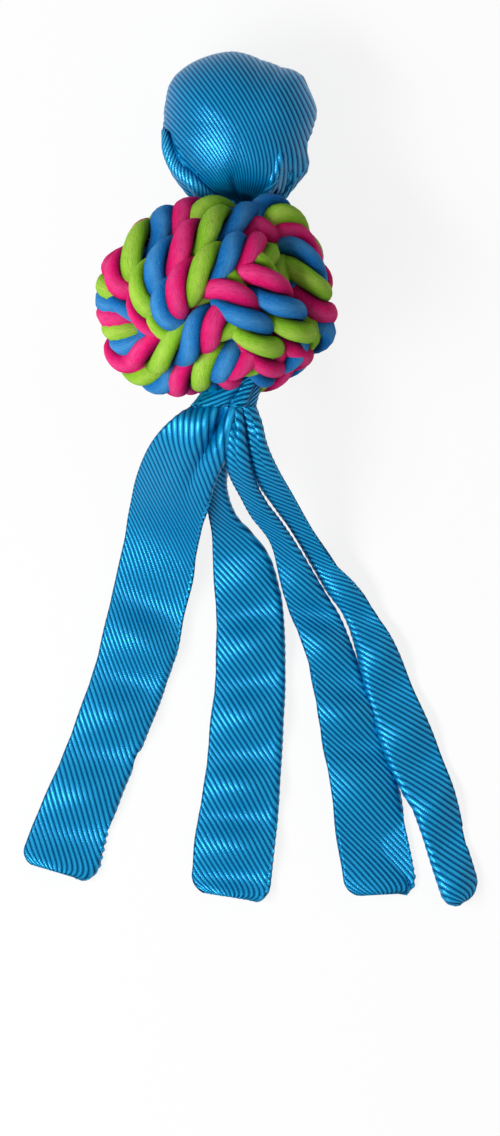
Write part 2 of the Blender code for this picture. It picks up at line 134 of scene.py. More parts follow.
# The head. Its ribs start on a straight line, fall by an angle and run together at the neck
head_centre = np.array((-0.0038, 0.1350, 0.0289))
head_height = 0.0285
head_skin = 0.0018
neck_narrowing, neckward_from = 0.55, (0.6, 0.4)
web_reach_deg = 172.0
pleats_a_web, pleats_from_deg = 4, (100, 60)
folds_from = (0.02, 0.2)
roll_rim_share, roll_look = 0.99, 0.01
roll_inner_share, roll_growth, roll_proud = 0.82, 0.22, 0.0004
rib_fall_deg = 47.0
rib_meeting = np.array((-4.2, 104.0))
rib_meeting_reach, rib_meeting_power = 20.0, 1.5
rib_start_mm = 45.0
rib_step_mm = 2.0
rib_steps = 60
rib_least_way = 0.2
rib_spread = 1.42

# The head's outline as angle and reach in mm round its middle, anticlockwise from the right
head_outline = (
    (0, 28.0), (10, 29.6), (20, 29.8), (31, 30.1), (40, 31.0), (48, 29.8), (56, 27.8), (73, 27.0), (87, 28.4),
    (95, 29.2), (107, 29.6), (117, 30.1), (130, 31.0), (141, 31.6), (149, 31.3), (159, 29.9), (172, 29.0),
    (183, 29.9), (194, 31.1), (203, 31.7), (213, 32.1), (224, 32.2), (232, 32.7), (240, 32.8), (247, 32.8),
    (257, 31.8), (269, 30.6), (286, 31.4), (300, 32.8), (308, 31.4), (318, 30.9), (327, 31.3), (333, 30.5),
    (341, 28.0), (349, 27.3),
)

# The tails from left to right: the hinge in metres, then in mm the edges as seen, the heights of the
# middle line, the fold's radii, how far the root is tucked under the band and how far the edges are
# tilted. right_lead and dark_bands are shares of the length. A crease has its place across, depth in
# mm, spread and end.
tail_table = (
    {
        "root": (-0.0137, 0.02281, 0.06586),
        "left": (
            (-19.5, 33.3), (-22.2, 29.5), (-27.6, 26.4), (-33.7, 21.8), (-38.3, 16.5), (-41.7, 10.0),
            (-44.4, 2.3), (-46.0, -5.0), (-47.5, -12.3), (-49.0, -21.8), (-52.5, -36.4), (-55.9, -51.7),
            (-59.4, -66.3), (-64.3, -81.6), (-69.3, -95.4), (-75.5, -110.7), (-82.3, -126.0), (-86.9, -137.5),
            (-90.0, -144.4),
        ),
        "right": (
            (-5.4, 33.3), (-4.6, 29.5), (-4.2, 26.0), (-5.4, 20.3), (-6.9, 14.6), (-9.6, 7.7),
            (-12.6, 0.8), (-14.6, -5.4), (-16.1, -12.3), (-18.4, -25.7), (-20.7, -37.9), (-23.0, -48.6),
            (-26.0, -60.1), (-29.9, -71.6), (-35.2, -86.9), (-42.1, -103.8), (-49.0, -120.3), (-54.4, -136.7),
            (-59.4, -153.6),
        ),
        "heights": (61, 61, 56, 43, 28, 15, 8, 5, 4, 4, 4, 3.6, 3.2, 3, 3, 2.8, 2.6, 2.4, 2.2),
        "fold_radii": (0.9, 1.2, 1.2),
        "right_lead": 0.042,
        "fold": "right",
        "tuck": 2.5,
        "tilts": (0, 2),
        "creases": ((0.71, 8.0, 0.085, 0.22), (0.5, -1.8, 0.16, 0.32), (0.9, -1.4, 0.07, 0.22)),
        "dark_bands": (0.459, 0.629, 0.797),
        "wave_lean": 1.2,
    },
    {
        "root": (-0.01325, 0.02281, 0.0551),
        "left": (
            (-16.9, 33.3), (-17.2, 24.1), (-18.0, 12.6), (-18.0, 1.1), (-16.9, -10.3), (-15.7, -18.8),
            (-15.3, -30.3), (-14.2, -46.0), (-13.8, -61.7), (-14.6, -78.5), (-16.5, -95.4), (-18.4, -114.5),
            (-21.4, -131.0), (-23.0, -145.9), (-24.1, -155.9),
        ),
        "right": (
            (-3.8, 33.3), (-4.6, 24.1), (-6.9, 12.6), (-8.4, 3.1), (-8.0, -5.0), (-4.6, -13.4),
            (1.5, -19.9), (7.7, -28.3), (11.1, -38.7), (13.0, -49.4), (13.8, -72.4), (13.0, -93.5),
            (11.5, -119.5), (9.6, -143.6), (7.7, -161.2),
        ),
        "heights": (52, 52, 42, 27, 14, 7, 5, 4.4, 4, 3.6, 3.2, 3, 2.8, 2.6, 2.2),
        "fold_radii": (0.9, 1.2, 1.2, 1.2),
        "right_lead": 0.0,
        "fold": "right",
        "tuck": 8,
        "tilts": (0, -1),
        "creases": (),
        "dark_bands": (0.473, 0.611, 0.754, 0.871),
        "wave_lean": 0.8,
    },
    {
        "root": (-0.00362, 0.02281, 0.06586),
        "left": (
            (-9.2, 33.3), (-9.2, 24.1), (-10.0, 12.6), (-8.8, 4.2), (-4.2, -5.0), (-0.4, -12.3),
            (6.1, -21.1), (9.6, -32.6), (12.6, -45.2), (15.3, -52.5), (20.3, -65.1), (23.7, -80.8),
            (26.8, -100.0), (29.9, -116.8), (31.8, -133.3), (34.1, -147.5), (35.2, -158.6),
        ),
        "right": (
            (-2.7, 33.3), (-1.9, 24.1), (-0.4, 12.6), (2.3, 1.1), (6.1, -6.9), (12.6, -15.7),
            (19.9, -26.8), (29.5, -42.9), (34.1, -50.2), (38.3, -59.7), (46.3, -82.0), (53.6, -104.2),
            (56.7, -114.1), (60.1, -129.1), (63.2, -144.4), (65.1, -157.0),
        ),
        "heights": (60, 60, 54, 42, 30, 20, 12, 8, 7.4, 7.2, 7, 6.6, 6, 5, 3.6, 2.6, 2.2),
        "fold_radii": (0.8, 1.3, 1.4, 1.3),
        "right_lead": 0.0,
        "fold": "right",
        "tuck": 2.6,
        "tilts": (2, 8),
        "creases": ((0.45, 1.6, 0.16, 0.24),),
        "dark_bands": (0.483, 0.621, 0.744, 0.949),
        "wave_lean": -0.8,
    },
    {
        "root": (-0.00071, 0.02281, 0.0551),
        "left": (
            (-5.4, 33.3), (-3.4, 24.1), (-1.9, 12.6), (0.8, 3.1), (6.9, -6.5), (13.4, -15.3),
            (20.3, -26.4), (28.7, -41.0), (35.2, -50.2), (39.1, -60.1), (44.0, -79.3), (50.2, -101.1),
            (57.8, -118.3), (62.0, -125.2), (66.3, -137.1), (70.1, -149.4), (75.1, -164.3),
        ),
        "right": (
            (1.1, 33.3), (4.6, 24.1), (6.9, 14.9), (10.7, 6.5), (17.6, -5.0), (25.3, -18.0),
            (34.1, -31.0), (41.0, -38.7), (46.0, -44.8), (53.6, -56.7), (60.1, -70.5), (66.3, -85.4),
            (72.4, -99.6), (77.4, -113.0), (81.2, -126.8), (84.3, -140.2), (88.9, -156.6),
        ),
        "heights": (57, 56, 49, 37, 24, 14, 8, 5.5, 5, 4.8, 4.6, 4.4, 4.4, 4.4, 4.4, 4.2, 3.8),
        "fold_radii": (0.8, 1.3, 1.5, 1.5),
        "right_lead": 0.0,
        "fold": "left",
        "tuck": 2.8,
        "tilts": (2, 7),
        "creases": ((0.55, 1.2, 0.12, 0.24),),
        "dark_bands": (0.64, 0.783),
        "wave_lean": 0.0,
    },
)

# Rows that the photograph shows: band, row, colour of the first crest, and where each strand crests,
# in mm from the ball's middle. The colours follow each other along a row as pink, blue, green.
strand_names = ("pink", "blue", "green")
seen_rows = (
    (0, 2, "green", ((-7.5, 31.0), (-15.5, 28.2), (-22.6, 24.6), (-32.4, 12.3), (-36.4, 3.1))),
    (0, 1, "pink", ((13.8, 28.5), (5.0, 28.0), (-5.0, 23.7), (-14.2, 16.5), (-23.0, 8.4), (-27.2, -2.3))),
    (0, 0, "green", ((15.6, 17.0), (10.7, 17.6), (3.4, 14.2), (-6.9, 8.0), (-14.6, 1.5), (-19.9, -5.0))),
    (1, 2, "pink", ((4.6, 1.9), (10.0, -6.5), (14.9, -14.9), (18.6, -21.6), (19.4, -26.8))),
    (1, 1, "pink", ((15.7, 7.7), (22.4, -1.1), (27.6, -8.9), (30.7, -15.9), (28.8, -21.5))),
    (1, 0, "green", (
        (23.0, 33.0), (28.0, 24.8), (31.2, 16.0), (33.8, 7.8), (36.4, -0.6), (38.6, -8.6), (37.0, -15.0),
    )),
    (2, 2, "pink", (
        (-1.5, -9.2), (-6.5, -14.6), (-14.9, -18.4), (-25.6, -22.0), (-30.8, -17.2), (-33.6, -13.6),
        (-36.6, -8.6), (-37.8, -3.9), (-38.0, 0.5), (-37.4, 6.0), (-35.0, 12.8),
    )),
    (2, 1, "pink", (
        (10.3, -22.7), (4.2, -23.8), (-1.1, -24.2), (-9.8, -28.8), (-17.4, -29.6), (-23.6, -27.6),
        (-29.8, -23.6),
    )),
)


def mm(values):
    """Numbers given in mm, as an array in metres."""
    return np.array(values) / 1000


def linear(colour):
    """A colour as it shows, 0 to 255, as the light that a shader takes."""
    out = []
    for value in colour:
        share = value / 255
        out.append(share / 12.92 if share <= 0.04045 else ((share + 0.055) / 1.055) ** 2.4)
    return (*out, 1.0)


def smooth_step(values):
    """0 up to 0, 1 from 1 on, and smooth between."""
    held = np.clip(values, 0.0, 1.0)
    return held * held * (3 - 2 * held)


def growing(values, start, span):
    """0 up to the start, 1 once the span is passed, and smooth between."""
    return smooth_step((values - start) / span)


def lengths(vectors):
    """The length of each vector."""
    return np.linalg.norm(vectors, axis=-1)


def lengths_so_far(line):
    """The length of a line up to each of its points."""
    return np.concatenate([[0.0], np.cumsum(lengths(np.diff(line, axis=0)))])


def read_at(places, along, line):
    """The points of a line at some lengths along it."""
    return np.stack([np.interp(places, along, values) for values in line.T], axis=1)


def turned(angle, first, second):
    """The first direction, turned by an angle towards the second."""
    return np.cos(angle)[..., None] * first + np.sin(angle)[..., None] * second


def unit(vectors):
    """Vectors of length 1."""
    return vectors / np.maximum(lengths(vectors), least_length)[..., None]


def square_to(ahead, vectors):
    """The part of vectors that is square to a direction, at length 1."""
    return unit(vectors - ahead * np.sum(vectors * ahead, axis=-1, keepdims=True))


def put_in_scene(name, data):
    """A new object in the scene."""
    made = bpy.data.objects.new(name, data)
    bpy.context.scene.collection.objects.link(made)
    return made


def mesh_piece(name, points, faces, made_of, uvs, weld=0.0):
    """A smooth mesh object; uvs has one pair for each point."""
    mesh = bpy.data.meshes.new(name)
    mesh.from_pydata([tuple(p) for p in points], [], faces)
    mesh.validate()
    layer = mesh.uv_layers.new(name="UVMap")
    corners = np.zeros(len(mesh.loops), dtype=np.int32)
    mesh.loops.foreach_get("vertex_index", corners)
    layer.data.foreach_set("uv", np.asarray(uvs, dtype=np.float32)[corners].ravel())
    body = bmesh.new()
    body.from_mesh(mesh)
    if weld:
        bmesh.ops.remove_doubles(body, verts=body.verts, dist=weld)
        bmesh.ops.dissolve_degenerate(body, dist=weld / 2, edges=body.edges)
    bmesh.ops.recalc_face_normals(body, faces=body.faces)
    body.to_mesh(mesh)
    body.free()
    mesh.materials.append(made_of)
    mesh.shade_smooth()
    return put_in_scene(name, mesh)


def grid_faces(rows, columns, round_columns):
    """Faces of a grid of points, row after row; round_columns joins each row's last point to its first."""
    faces = []
    for row in range(rows - 1):
        for column in range(columns if round_columns else columns - 1):
            after = (column + 1) % columns
            low, high = row * columns, (row + 1) * columns
            faces.append((low + column, low + after, high + after, high + column))
    return faces


# The rope's route


def ball_faces():
    """The three faces that the knot shows: top, right and left."""
    turn, tilt, lean = (math.radians(v) for v in ball_angles_deg)
    rise, level, sixth = 1 / math.sqrt(3), math.sqrt(2 / 3), math.pi / 3
    place = Matrix.Rotation(lean, 3, "Z") @ Matrix.Rotation(tilt, 3, "X")

    def face(angle, height):
        return np.array(place @ Vector((level * math.sin(angle), height, level * math.cos(angle))))

    return face(turn, rise), face(turn + sixth, -rise), face(turn - sixth, -rise)


def band_rows(axis, first, second, shift_share, row_step, joined_before, joined_after):
    """Turns of one band on a ball of radius 1: places, and the row of each point."""
    quarter = math.pi / 2
    total = 2 * math.pi * turns_a_band
    angles = np.linspace(0, total, int(route_points_a_turn * turns_a_band) + 1) - quarter / 2
    rows = np.full_like(angles, -row_step * (rows_a_band - 1) / 2)
    width = math.radians(shift_width_deg)
    for turn in range(rows_a_band - 1):
        middle = 3 * quarter + 2 * math.pi * turn
        rows += row_step * smooth_step((angles - middle + width / 2) / width)
    level = np.tanh(level_sharpness * np.cos(2 * angles)) / math.tanh(level_sharpness)
    if joined_before:
        level = np.where(angles < 0, 1.0, level)
    if joined_after:
        level = np.where(angles > angles[-1] - quarter / 2, 1.0, level)
    aside = rows * row_share + shift_share
    reach = under_share + (1 - under_share) * (level + 1) / 2
    places = aside[:, None] * axis + np.sqrt(1 - aside * aside)[:, None] * turned(angles, first, second)
    places = unit(places) * reach[:, None]
    cut = math.radians(corner_cut_deg)
    kept = np.ones(len(angles), dtype=bool)
    if joined_before:
        kept &= angles >= angles[0] + cut
    if joined_after:
        kept &= angles <= angles[-1] - cut
    numbers = np.round(rows * row_step + (rows_a_band - 1) / 2)
    return places[kept], (numbers if row_step > 0 else rows_a_band - 1 - numbers)[kept]


def bridge(before, after):
    """The bend from the end of one band into the start of the next."""
    start, end = before[-1], after[0]
    leaving, joining = unit(before[-1] - before[-2]), unit(after[1] - after[0])
    span = lengths(end - start)
    count = max(least_bend_points, round(span * route_points_a_turn / 4))
    pull = span * corner_reach_share
    u = (np.arange(1, count) / count)[:, None]
    spots = (2 * u**3 - 3 * u**2 + 1) * start + (u**3 - 2 * u**2 + u) * leaving * pull
    return spots + (3 * u**2 - 2 * u**3) * end + (u**3 - u**2) * joining * pull


def knot_route():
    """The rope's middle line about the ball's centre, with the band and row of each point."""
    top, right, left = ball_faces()
    first, second, third = -right, left, -top
    bands = (
        band_rows(first, -third, second, band_shift_shares[0], 1, False, True),
        band_rows(second, first, -third, band_shift_shares[1], 1, True, True),
        band_rows(third, second, first, band_shift_shares[2], -1, True, False),
    )
    places, band_of, row_of = bands[0][0], np.zeros(len(bands[0][0])), bands[0][1]
    for number, (spots, rows) in enumerate(bands[1:], start=1):
        bend = bridge(places, spots)
        places = np.concatenate([places, bend, spots])
        band_of = np.concatenate([band_of, np.full(len(bend), bend_label), np.full(len(spots), number)])
        row_of = np.concatenate([row_of, np.full(len(bend), bend_label), rows])
    u = np.linspace(1, 0, lead_in_steps, endpoint=False)[:, None]
    back = unit(places[0] - places[2])
    lead_in = (places[0] + back * u * lead_in_reach) * (1 - lead_in_sink * u)
    places = np.concatenate([lead_in, places])
    band_of = np.concatenate([np.full(lead_in_steps, lead_in_label), band_of])
    row_of = np.concatenate([np.full(lead_in_steps, lead_in_label), row_of])
    return places * ball_reach, band_of, row_of


def even_steps(route, labels, spacing):
    """The route at even steps: the length so far, the points, and the labels of each."""
    along = lengths_so_far(route)
    even = np.linspace(0, along[-1], int(along[-1] / spacing))
    nearest = np.round(np.interp(even, along, np.arange(len(along)))).astype(int)
    return even, read_at(even, along, route), [label[nearest] for label in labels]


def smoothed(values, width):
    """Values along a line, averaged over a bell of that many steps to each side."""
    reach = int(width * 3)
    bell = np.exp(-0.5 * (np.arange(-reach, reach + 1) / width) ** 2)
    bell /= bell.sum()
    padded = np.concatenate([np.repeat(values[:1], reach, 0), values, np.repeat(values[-1:], reach, 0)])
    return np.stack([np.convolve(padded[:, k], bell, "valid") for k in range(values.shape[1])], axis=1)


def between(a, b, c, d, u):
    """A smooth line through four values, from the second to the third as u goes from 0 to 1."""
    return 0.5 * (2 * b + (c - a) * u + (2 * a - 5 * b + 4 * c - d) * u**2 + (3 * b - a - 3 * c + d) * u**3)


def curve_through(points, count):
    """A smooth line through points, at even steps, and each point's share of its length."""
    points = np.asarray(points, dtype=float)
    ends = (2 * points[:1] - points[1:2], 2 * points[-1:] - points[-2:-1])
    padded = np.concatenate([ends[0], points, ends[1]])
    u = np.linspace(0, 1, curve_steps, endpoint=False)[:, None]
    parts = [between(*padded[k : k + 4], u) for k in range(len(padded) - 3)]
    line = np.concatenate([*parts, points[-1:]])
    along = lengths_so_far(line)
    return read_at(np.linspace(0, along[-1], count), along, line), along[::curve_steps] / along[-1]


def laid_on_the_rows(even, spots, band_of, row_of):
    """Lays the route on the rows that the photograph shows, and gives its crests: point and colour."""
    moved = spots.copy()
    level = (lengths(spots / ball_reach) - under_share) / (1 - under_share)
    shift, weight = np.zeros((len(spots), 2)), np.zeros(len(spots))
    crests = []
    for band, row, first, marks in seen_rows:
        own = np.flatnonzero((band_of == band) & (row_of == row) & (spots[:, 2] > lowest_seen))
        places = mm(marks)
        offsets = (spots[own, :2] - place for place in (places[0], places[-1]))
        start, end = (int(own[np.argmin(np.hypot(*offset.T))]) for offset in offsets)
        line, shares = curve_through(places, end - start + 1)
        for number, share in enumerate(shares, start=strand_names.index(first)):
            crests.append((round(start + share * (end - start)), number % 3))
        outside = np.maximum(np.maximum(even[start] - even, even - even[end]), 0.0)
        share = smooth_step(1 - outside / settle_length)
        nearest = np.clip(np.arange(len(spots)), start, end)
        wanted = (line - spots[start : end + 1, :2])[nearest - start]
        here = share > weight
        shift[here] = (wanted * share[:, None])[here]
        weight = np.maximum(weight, share)
        quick = (band, row) in quick_dives
        dive = np.where(quick & (even < even[start]), quick_dive_length, dive_length)
        own_level = smooth_step(1 - (outside - dive_start) / dive)
        near = outside < pass_reach
        level[near] = own_level[near]
    for band, row in sunk_rows:
        low = (band_of == band) & (row_of == row) & (spots[:, 2] > 0)
        level[low] = 0.0
    level = smoothed(level[:, None], depth_smoothing)[:, 0]
    shift = smoothed(shift, shift_smoothing)
    reach = under_share + (1 - under_share) * level
    own_reach = lengths(spots / ball_reach)
    reach = np.where(band_of == lead_in_label, np.minimum(reach, own_reach), reach)
    moved[:, :2] += shift
    flat = np.sum((moved[:, :2] / ball_reach[:2]) ** 2, axis=1)
    height = np.sqrt(np.maximum(reach**2 - flat, 0.0) + rim_softness**2) * ball_reach[2]
    onto = smooth_step(weight * onto_rows_gain)
    plain = spots / own_reach[:, None] * reach[:, None]
    upper = np.column_stack([moved[:, :2], height])
    moved = plain * (1 - onto[:, None]) + upper * onto[:, None]
    return smoothed(moved, line_smoothing), crests


def rope_frames(spots):
    """The directions out of the ball and sideways, all along the rope."""
    ahead = unit(np.gradient(spots, axis=0))
    out = square_to(ahead, unit(spots / ball_reach**2))
    return out, np.cross(ahead, out)


def strand_turns(along, out, side, crests):
    """How far the pink strand is turned round the rope, so that the seen crests have their colours."""
    facing = np.arctan2(side[:, 2], out[:, 2])
    slope = -2 * math.pi / lay_length
    at, angles = [], []
    for index, colour in sorted(crests):
        wanted = facing[index] - 2 * math.pi * colour / 3
        if at:
            expected = angles[-1] + slope * (along[index] - at[-1])
            wanted += 2 * math.pi * round((expected - wanted) / (2 * math.pi))
        at.append(along[index])
        angles.append(wanted)
    angles = [angles[0] - slope * at[0], *angles, angles[-1] + slope * (along[-1] - at[-1])]
    turns = np.interp(along, [0.0, *at, along[-1]], angles)
    return smoothed(turns[:, None], turn_smoothing)[:, 0]


def rope_strands(materials):
    """The three strands, twisted round the rope's middle line."""
    route, *labels = knot_route()
    even, spots, (band_of, row_of) = even_steps(route, labels, strand_step)
    spots, crests = laid_on_the_rows(even, spots, band_of, row_of)
    along = lengths_so_far(spots)
    out, side = rope_frames(spots)
    turns = strand_turns(along, out, side, crests)
    ring = np.arange(strand_sides) / strand_sides * 2 * math.pi
    made = []
    for number, (name, made_of) in enumerate(zip(strand_names, materials)):
        away = turned(turns + 2 * math.pi * number / 3, out, side)
        line = spots + away * rope_radius * strand_centre_share
        ahead = unit(np.gradient(line, axis=0))
        up = square_to(ahead, away)
        across = np.cross(ahead, up)
        swell = 1.0
        for share, waves, offset in strand_swells:
            swell = swell + share * np.sin(even * waves + number * offset)
        swell = (rope_radius * swell)[:, None]
        high, wide = up * strand_high_share * swell, across * strand_wide_share * swell
        points = line[:, None] + turned(ring, high[:, None], wide[:, None]) + ball_centre
        points[..., 2] = np.maximum(points[..., 2], 0.0)
        faces = grid_faces(len(even), strand_sides, True)
        faces.append(tuple(reversed(range(strand_sides))))
        faces.append(tuple(range((len(even) - 1) * strand_sides, len(even) * strand_sides)))
        uvs = np.zeros((len(even), strand_sides, 2))
        uvs[..., 0] = np.abs(ring / math.pi - 1)[None]
        uvs[..., 1] = (even / strand_uv_length)[:, None]
        points, uvs = points.reshape(-1, 3), uvs.reshape(-1, 2)
        made.append(mesh_piece("rope_strand_" + name, points, faces, made_of, uvs))
    return made


# The ribbed sleeve fabric, as thick sheets whose ribs run slantwise


def strap_pattern(m, v, spots):
    """Where a point of a plain strap lies across and along its ribs."""
    turn = math.radians(rib_slant_deg)
    return v * math.sin(turn) - m * math.cos(turn), v * math.cos(turn) + m * math.sin(turn)


def ribbed_sheet(
    name, surface, flat, made_of, thickness=strap_thickness, pitch=rib_pitch, rib=rib_height, columns=30,
    pattern=strap_pattern,
):
    """A closed sheet with ribs on both sides. surface(m, v) gives its middle at m across and v along.

    On a plain strap each row of points follows one line along the ribs, so that a rib takes few points.
    """
    width, length = flat
    plain = pattern is strap_pattern
    slant = 1 / math.tan(math.radians(rib_slant_deg)) if plain else 0.0
    step = pitch / points_a_rib / (math.sin(math.radians(rib_slant_deg)) if plain else 1.0)
    across = np.linspace(0, width, columns)
    turn = np.linspace(0, math.pi, edge_points + 2)[1:-1]
    ms = np.concatenate([across, np.full(edge_points, width), across[::-1], np.zeros(edge_points)])
    sides = np.concatenate([np.ones(columns), np.cos(turn), -np.ones(columns), -np.cos(turn)])
    outs = np.concatenate([np.zeros(columns), np.sin(turn), np.zeros(columns), -np.sin(turn)])
    rows = int((length + width * slant) / step) + 2
    raw = np.arange(rows)[:, None] * step + (ms[None] - width) * slant
    v = np.clip(raw, 0.0, length)
    m = np.broadcast_to(ms[None], v.shape)
    spots = surface(m, v)
    tiny = 0.0002
    over_m = surface(np.minimum(m + tiny, width), v) - surface(np.maximum(m - tiny, 0.0), v)
    over_v = surface(m, np.minimum(v + tiny, length)) - surface(m, np.maximum(v - tiny, 0.0))
    normal = unit(np.cross(over_v, over_m))
    outward = unit(np.cross(normal, over_v))
    left_over = np.minimum(v, length - v)
    taper = np.sqrt(1 - (1 - np.minimum(left_over / end_taper, 1.0)) ** 2)[..., None]
    place_across, place_along = pattern(m, v, spots)
    height = rib * (0.5 + 0.5 * np.cos(2 * math.pi * place_across / pitch))[..., None] * taper
    half = thickness / 2 * taper
    scallop = half + height * edge_rib_share
    points = spots + normal * sides[None, :, None] * (half + height) - outward * outs[None, :, None] * scallop
    faces = grid_faces(rows, len(ms), True)
    uvs = np.stack([place_across, place_along], axis=-1) / uv_unit
    return mesh_piece(name, points.reshape(-1, 3), faces, made_of, uvs.reshape(-1, 2), weld_distance)


def read_smoothly(table, shares):
    """Values of an evenly spaced table at shares of its length, along a smooth line."""
    table = np.asarray(table, dtype=float)
    if table.ndim == 1:
        return read_smoothly(table[:, None], shares)[..., 0]
    place = np.clip(shares, 0.0, 1.0) * (len(table) - 1)
    low = np.minimum(place.astype(int), len(table) - 2)
    u = (place - low)[..., None]
    before, after = table[np.maximum(low - 1, 0)], table[np.minimum(low + 2, len(table) - 1)]
    return between(before, table[low], table[low + 1], after, u)


def under_page(place, high):
    """Where a point that the camera sees at place on the page lies when it is at a height."""
    middle = np.array(view_middle)
    return middle + (place - middle) * (1 - high / camera_height)[..., None]


def tail_surface(entry):
    """The middle of a tail's strap, laid between its two seen edges, and the strap's length."""
    left, _ = curve_through(mm(entry["left"]), tail_stations)
    right, _ = curve_through(mm(entry["right"]), tail_stations)
    middle = (left + right) / 2
    run = lengths(np.diff(middle, axis=0))
    rise = np.diff(read_smoothly(mm(entry["heights"]), np.linspace(0, 1, tail_stations)))
    length = float(np.sum(np.hypot(run, rise)))
    share_of_v = np.concatenate([[0.0], np.cumsum(np.hypot(run, rise))]) / length
    marks = np.array(entry["dark_bands"])
    phases = -math.pi / 2 + 2 * math.pi * np.arange(len(marks))
    ahead = (phases[1] - phases[0]) / (marks[1] - marks[0])
    behind = (phases[-1] - phases[-2]) / (marks[-1] - marks[-2])
    marks = np.array([0.0, *marks, 1.0])
    phases = np.array([phases[0] - ahead * marks[1], *phases, phases[-1] + behind * (1 - marks[-2])])

    def surface(m, v):
        t = np.interp(v / length, share_of_v, np.linspace(0, 1, tail_stations))
        lag = entry["right_lead"] * growing(t, *lead_grows) * (1 - growing(t, *lead_ends))
        a, b = read_smoothly(left, t), read_smoothly(right, t + lag)
        wide = lengths(b - a)
        trim = (b - a) * (edge_inset / wide)[..., None]
        a, b, wide = a + trim, b - trim, wide - 2 * edge_inset
        curl = read_smoothly(mm(entry["fold_radii"]), t)
        flat = wide - curl
        cloth = m if entry["fold"] == "right" else strap_width - m
        cloth = cloth * np.maximum(flat / strap_width, 1.0)
        spare = np.maximum(cloth - flat, 0.0)
        angle = np.minimum(spare / curl, math.pi)
        back = np.maximum(spare - math.pi * curl, 0.0)
        most_back = np.maximum(strap_width - flat - math.pi * curl, least_back)
        back = back * np.minimum(np.maximum(wide - 2 * curl, least_room) / most_back, 1.0)
        side = np.minimum(cloth, flat) + curl * np.sin(angle) - back
        drop = curl * (1 - np.cos(angle))
        short = np.maximum(end_rounding - (length - v), 0.0)
        inset = end_rounding - np.sqrt(np.maximum(end_rounding**2 - short**2, 0.0))
        side = inset + side * (1 - 2 * inset / wide)
        q = side / wide if entry["fold"] == "right" else 1 - side / wide
        place = a + (b - a) * q[..., None]
        held = np.clip(q, 0.0, 1.0)
        sway = np.interp(t, marks, phases) + entry["wave_lean"] * (q - 0.5)
        crown = wave_at_edges + (1 - wave_at_edges) * np.sin(math.pi * held)
        wave = wave_height * (np.cos(sway) + wave_lift) * growing(t, *wave_grows) * crown
        high = read_smoothly(mm(entry["heights"]), t)
        hung = 1 - smooth_step(t / droop_ends)
        high = high - root_droop * hung * np.abs(2 * held - 1) ** droop_power
        for at, deep, spread, until in entry["creases"]:
            hollow = np.exp(-(((q - at) / spread) ** 2)) * (1 - smooth_step(t / until))
            high = high - deep / 1000 * hollow
        tilt = np.interp(t, (tilt_grows[0], 1), mm(entry["tilts"]))
        tilt = growing(t, *tilt_grows) * tilt * (0.5 - q)
        rooted = 1 - smooth_step(t / root_ends)
        off = (place[..., 0] - neck_middle) / neck_half_width
        neck_top = neck_height + neck_half_height * np.sqrt(np.maximum(1 - off**2, neck_least))
        high = high * (1 - rooted) + (neck_top - entry["tuck"] / 1000) * rooted
        z = np.maximum(high + wave + tilt - drop, lowest_middle)
        return np.concatenate([under_page(place, z), z[..., None]], axis=-1)

    return surface, length


def wrap_surface(entry):
    """Fabric wrapped round a neck: v goes round it, m along it from its outer end to the rope."""
    first, last = mm(entry["from"]), mm(entry["to"])
    wide, high = mm(entry["half_widths"]), mm(entry["half_heights"])
    width, length = entry["flat"]

    def surface(m, v):
        share = m / width
        angle = math.pi + 2 * math.pi * entry["turns"] * v / length
        ends = smooth_step(v / wrap_end) * smooth_step((length - v) / wrap_end)
        across, up = (np.interp(share, (0, 1), half) for half in (wide, high))
        lap = wrap_lap * (v / length - 0.5) / up
        swell = 1 + lap * (wrap_end_share + (1 - wrap_end_share) * ends)
        spot = first + (last - first) * share[..., None]
        round_spot = spot.copy()
        round_spot[..., 0] += across * np.cos(angle) * swell
        round_spot[..., 2] -= up * np.sin(angle) * swell
        away = unit(round_spot - spot)
        push = np.zeros_like(share)
        for start, end, deep, spread in entry["folds"]:
            start, end = mm(start), mm(end)
            along = unit(end - start)
            off = (round_spot[..., 0] - start[0]) * along[1] - (round_spot[..., 1] - start[1]) * along[0]
            on_top = round_spot[..., 2] > spot[..., 2]
            push = push + deep / 1000 * np.exp(-((off / (spread / 1000)) ** 2)) * on_top
        push = push + entry["pleat_depth"] / 1000 * np.cos(entry["pleats"] * angle)
        return round_spot + away * push[..., None]

    return surface


def head_radius_at(angle):
    """How far the head reaches on the page, by the angle round its middle."""
    degrees, reaches = zip(*head_outline)
    degrees = np.array([degrees[-1] - 360, *degrees, degrees[0] + 360], dtype=float)
    reaches = np.array([reaches[-1], *reaches, reaches[0]]) / 1000
    return np.interp(np.degrees(angle) % 360, degrees, reaches)


def narrowing(towards_neck):
    """How much of its height the head keeps as it narrows to the neck."""
    return 1 - neck_narrowing * growing(towards_neck, *neckward_from)


